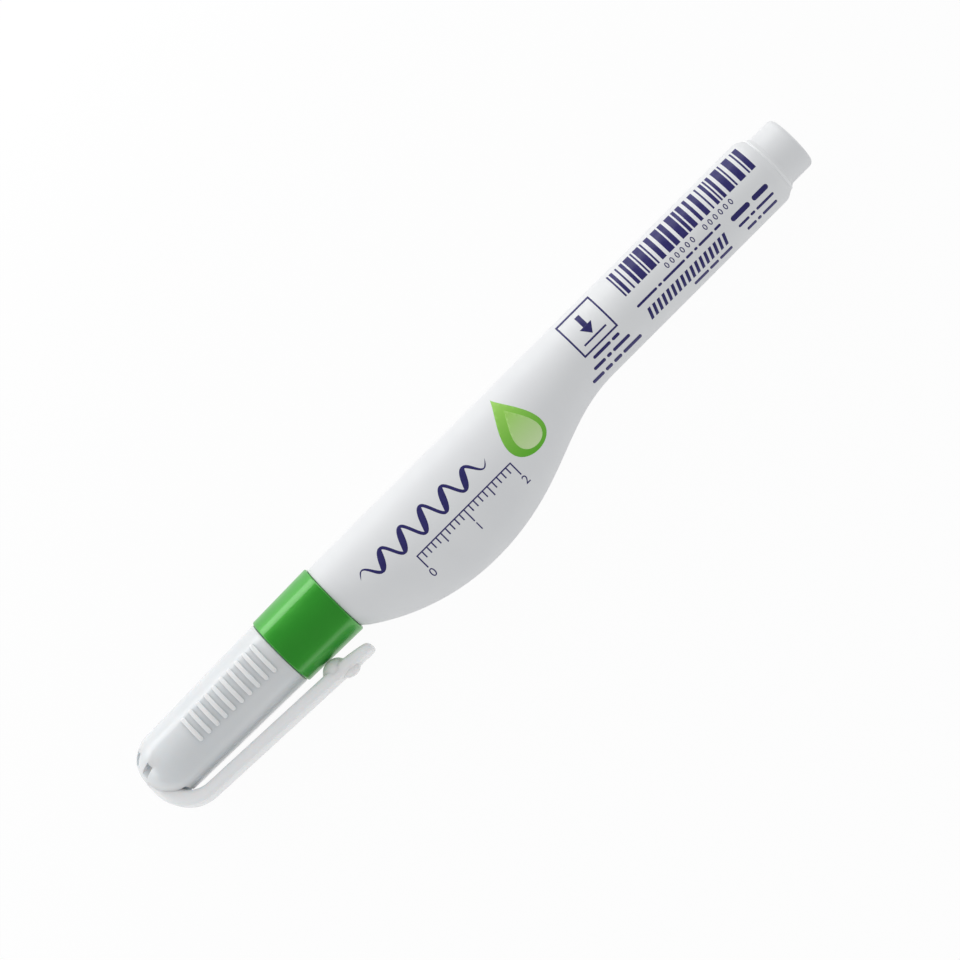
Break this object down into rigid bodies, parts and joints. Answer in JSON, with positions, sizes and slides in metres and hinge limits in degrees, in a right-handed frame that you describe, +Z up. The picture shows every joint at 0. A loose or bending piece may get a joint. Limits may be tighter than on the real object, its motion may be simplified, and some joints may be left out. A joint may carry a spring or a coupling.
{
  "type": "correction pen",
  "caption": "Capped correction-fluid pen: squeeze barrel with a one-sided belly, spring-loaded needle tip, push-on ribbed cap with pocket clip.",
  "frame": {"origin": "on the table, under the middle of the box round the pen as it lies on its side", "axes": "+X along the pen from the closed end of the cap to the tail, +Y away from the belly and the clip, +Z up"},
  "size_m": [0.14, 0.0198, 0.0132],
  "materials": {
    "white_plastic": "smooth white moulded plastic with a soft sheen",
    "cap_plastic": "smooth white moulded plastic, slightly cooler than the barrel",
    "green_plastic": "glossy green moulded plastic",
    "natural_plastic": "undyed moulded plastic",
    "steel": "bright turned steel",
    "seal_rubber": "soft black rubber"
  },
  "bodies": {
    "pen": {"barrel": "white_plastic", "end_plug": "white_plastic", "nose_section": "green_plastic", "metal_tip": "steel", "spring_retainer": "natural_plastic", "valve_spring": "steel"},
    "cap": {"cap_shell": "cap_plastic", "inner_cap": "natural_plastic", "tip_seal": "seal_rubber"},
    "clip": {"pocket_clip": "cap_plastic"},
    "needle": {"valve_needle": "steel"},
    "ball": {"mixing_ball": "steel"}
  },
  "joints": [
    {"name": "cap_pull", "type": "slide", "parent": "pen", "child": "cap", "axis": [-1, 0, 0], "range_m": [0, 0.04]},
    {"name": "clip_flex", "type": "hinge", "parent": "cap", "child": "clip", "pos_m": [-0.0691, 0.00317, 0.00667], "axis": [0, -0.225, -0.9744], "range_deg": [0, 4], "stiffness_Nm_per_rad": 1},
    {"name": "tip_press", "type": "slide", "parent": "pen", "child": "needle", "axis": [1, 0, 0], "range_m": [0, 0.0007], "stiffness_N_per_m": 800, "deforming": ["valve_spring"]},
    {"name": "ball_roll", "type": "slide", "parent": "pen", "child": "ball", "axis": [1, 0, 0], "range_m": [-0.058, 0.021]}
  ]
}
